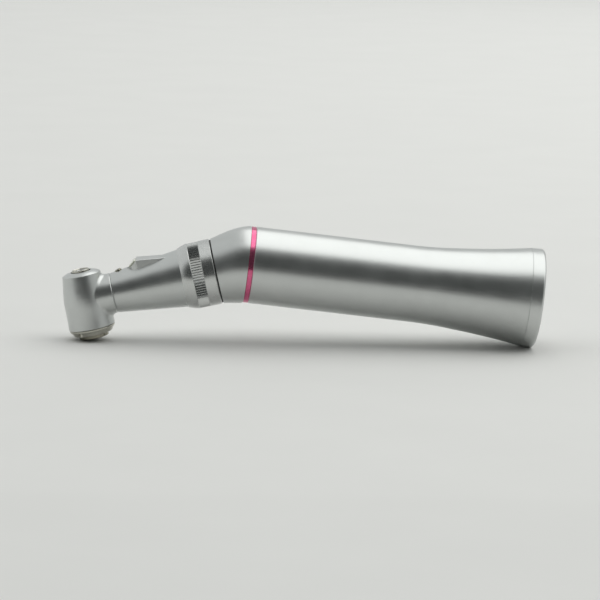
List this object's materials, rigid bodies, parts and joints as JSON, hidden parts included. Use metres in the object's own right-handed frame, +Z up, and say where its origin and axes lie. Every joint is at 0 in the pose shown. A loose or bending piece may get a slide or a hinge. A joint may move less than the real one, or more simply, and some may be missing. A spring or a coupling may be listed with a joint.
{
  "type": "contra-angle dental handpiece",
  "caption": "Angled dental handpiece with a push-button bur chuck, lit spray head, knurled ring and flared motor end, with its bevel gear train inside.",
  "frame": {"origin": "middle of the footprint on the table, with the push button and the rear rim both touching it", "axes": "+X towards the motor end, +Y to the left when looking from the motor end towards the head, +Z up"},
  "size_m": [0.0954, 0.0196, 0.0232],
  "materials": {
    "satin_body": "fine satin, bead blasted",
    "locking_ring": "satin with a fine straight knurl",
    "polished_steel": "polished",
    "pink_anodised": "anodised, glossy",
    "black_rubber": "matte",
    "clear_glass": "polished, faint green",
    "pipe_steel": "drawn tube",
    "chassis_metal": "turned",
    "gear_steel": "ground and hardened",
    "shaft_steel": "ground",
    "spring_steel": "spring temper",
    "bearing_steel": "ground"
  },
  "bodies": {
    "handpiece": {"handle_shell": "satin_body", "rear_ring": "satin_body", "identification_ring": "pink_anodised", "elbow_shell": "satin_body", "shaft_housing": "chassis_metal", "coupling_sleeve": "chassis_metal", "manifold_ring": "chassis_metal", "bearing_spacer": "chassis_metal", "neck_sleeve": "satin_body", "light_window": "clear_glass", "spray_nozzle": "polished_steel", "gap_seal": "black_rubber", "neck_tube": "chassis_metal", "head_housing": "satin_body", "dust_ring": "polished_steel", "bearing_liner": "chassis_metal", "bearing_o_rings": "black_rubber", "bearing_retainer": "chassis_metal", "head_cap": "polished_steel", "button_spring": "spring_steel", "light_guide": "clear_glass", "water_pipe": "pipe_steel", "air_pipe": "pipe_steel", "upper_spindle_bearing_outer_race": "bearing_steel", "lower_spindle_bearing_outer_race": "bearing_steel", "front_shaft_bearing_outer_race": "bearing_steel", "elbow_shaft_bearing_outer_race": "bearing_steel", "bell_bearing_outer_race": "bearing_steel", "drive_bearing_outer_race": "bearing_steel"},
    "rear_drive": {"rear_shaft": "shaft_steel", "bell_gear": "gear_steel", "bell_bearing_inner_race": "bearing_steel", "drive_bearing_inner_race": "bearing_steel", "dog_pin": "shaft_steel", "dog_spring": "spring_steel"},
    "drive_dog": {"drive_dog": "shaft_steel"},
    "front_drive": {"front_shaft": "shaft_steel", "elbow_pinion": "gear_steel", "front_gear": "gear_steel", "front_shaft_bearing_inner_race": "bearing_steel", "elbow_shaft_bearing_inner_race": "bearing_steel"},
    "spindle": {"chuck_spindle": "shaft_steel", "collet": "shaft_steel", "spindle_pinion": "gear_steel", "upper_spindle_bearing_inner_race": "bearing_steel", "lower_spindle_bearing_inner_race": "bearing_steel"},
    "release_wedge": {"release_wedge": "shaft_steel"},
    "push_button": {"push_button": "polished_steel"},
    "locking_ring": {"locking_ring": "locking_ring"},
    "upper_spindle_bearing_cage": {"upper_spindle_bearing_balls": "bearing_steel"},
    "lower_spindle_bearing_cage": {"lower_spindle_bearing_balls": "bearing_steel"},
    "front_shaft_bearing_cage": {"front_shaft_bearing_balls": "bearing_steel"},
    "elbow_shaft_bearing_cage": {"elbow_shaft_bearing_balls": "bearing_steel"},
    "bell_bearing_cage": {"bell_bearing_balls": "bearing_steel"},
    "drive_bearing_cage": {"drive_bearing_balls": "bearing_steel"}
  },
  "joints": [
    {"name": "rear_shaft_spin", "type": "hinge", "parent": "handpiece", "child": "rear_drive", "pos_m": [0.00874, 0, 0.0136], "axis": [0.9949, 0, -0.1008], "continuous": true},
    {"name": "front_shaft_spin", "type": "hinge", "parent": "handpiece", "child": "front_drive", "pos_m": [-0.0209, 0, 0.01335], "axis": [0.9739, 0, 0.2269], "continuous": true},
    {"name": "spindle_spin", "type": "hinge", "parent": "handpiece", "child": "spindle", "pos_m": [-0.04291, 0, 0.00822], "axis": [-0.2133, 0, 0.977], "continuous": true},
    {"name": "drive_dog_slide", "type": "slide", "parent": "rear_drive", "child": "drive_dog", "axis": [-0.9949, 0, 0.1008], "range_m": [0, 0.0015], "stiffness_N_per_m": 400, "springref_m": -0.002},
    {"name": "push_button_press", "type": "slide", "parent": "handpiece", "child": "push_button", "axis": [-0.2133, 0, 0.977], "range_m": [0, 0.0005], "stiffness_N_per_m": 6000, "springref_m": -0.0006, "deforming": ["button_spring"]},
    {"name": "release_wedge_slide", "type": "slide", "parent": "spindle", "child": "release_wedge", "axis": [-0.2133, 0, 0.977], "range_m": [0, 0.00035]},
    {"name": "locking_ring_turn", "type": "hinge", "parent": "handpiece", "child": "locking_ring", "pos_m": [-0.0207, 0, 0.01339], "axis": [0.9739, 0, 0.2269], "range_deg": [0, 30]},
    {"name": "upper_spindle_bearing_cage_spin", "type": "hinge", "parent": "handpiece", "child": "upper_spindle_bearing_cage", "pos_m": [-0.04382, 0, 0.01241], "axis": [-0.2133, 0, 0.977], "continuous": true},
    {"name": "lower_spindle_bearing_cage_spin", "type": "hinge", "parent": "handpiece", "child": "lower_spindle_bearing_cage", "pos_m": [-0.04195, 0, 0.00382], "axis": [-0.2133, 0, 0.977], "continuous": true},
    {"name": "front_shaft_bearing_cage_spin", "type": "hinge", "parent": "handpiece", "child": "front_shaft_bearing_cage", "pos_m": [-0.03599, 0, 0.00983], "axis": [0.9739, 0, 0.2269], "continuous": true},
    {"name": "elbow_shaft_bearing_cage_spin", "type": "hinge", "parent": "handpiece", "child": "elbow_shaft_bearing_cage", "pos_m": [-0.0095, 0, 0.016], "axis": [0.9739, 0, 0.2269], "continuous": true},
    {"name": "bell_bearing_cage_spin", "type": "hinge", "parent": "handpiece", "child": "bell_bearing_cage", "pos_m": [0.00177, 0, 0.01431], "axis": [0.9949, 0, -0.1008], "continuous": true},
    {"name": "drive_bearing_cage_spin", "type": "hinge", "parent": "handpiece", "child": "drive_bearing_cage", "pos_m": [0.01481, 0, 0.01299], "axis": [0.9949, 0, -0.1008], "continuous": true}
  ],
  "couplings": [
    {"joint": "front_shaft_spin", "follows": "rear_shaft_spin", "ratio": 3.3333},
    {"joint": "spindle_spin", "follows": "rear_shaft_spin", "ratio": 5},
    {"joint": "release_wedge_slide", "follows": "push_button_press", "ratio": 0.7},
    {"joint": "upper_spindle_bearing_cage_spin", "follows": "rear_shaft_spin", "ratio": 1.9853},
    {"joint": "lower_spindle_bearing_cage_spin", "follows": "rear_shaft_spin", "ratio": 1.9853},
    {"joint": "front_shaft_bearing_cage_spin", "follows": "rear_shaft_spin", "ratio": 1.3196},
    {"joint": "elbow_shaft_bearing_cage_spin", "follows": "rear_shaft_spin", "ratio": 1.3196},
    {"joint": "bell_bearing_cage_spin", "follows": "rear_shaft_spin", "ratio": 0.39216},
    {"joint": "drive_bearing_cage_spin", "follows": "rear_shaft_spin", "ratio": 0.39216}
  ]
}
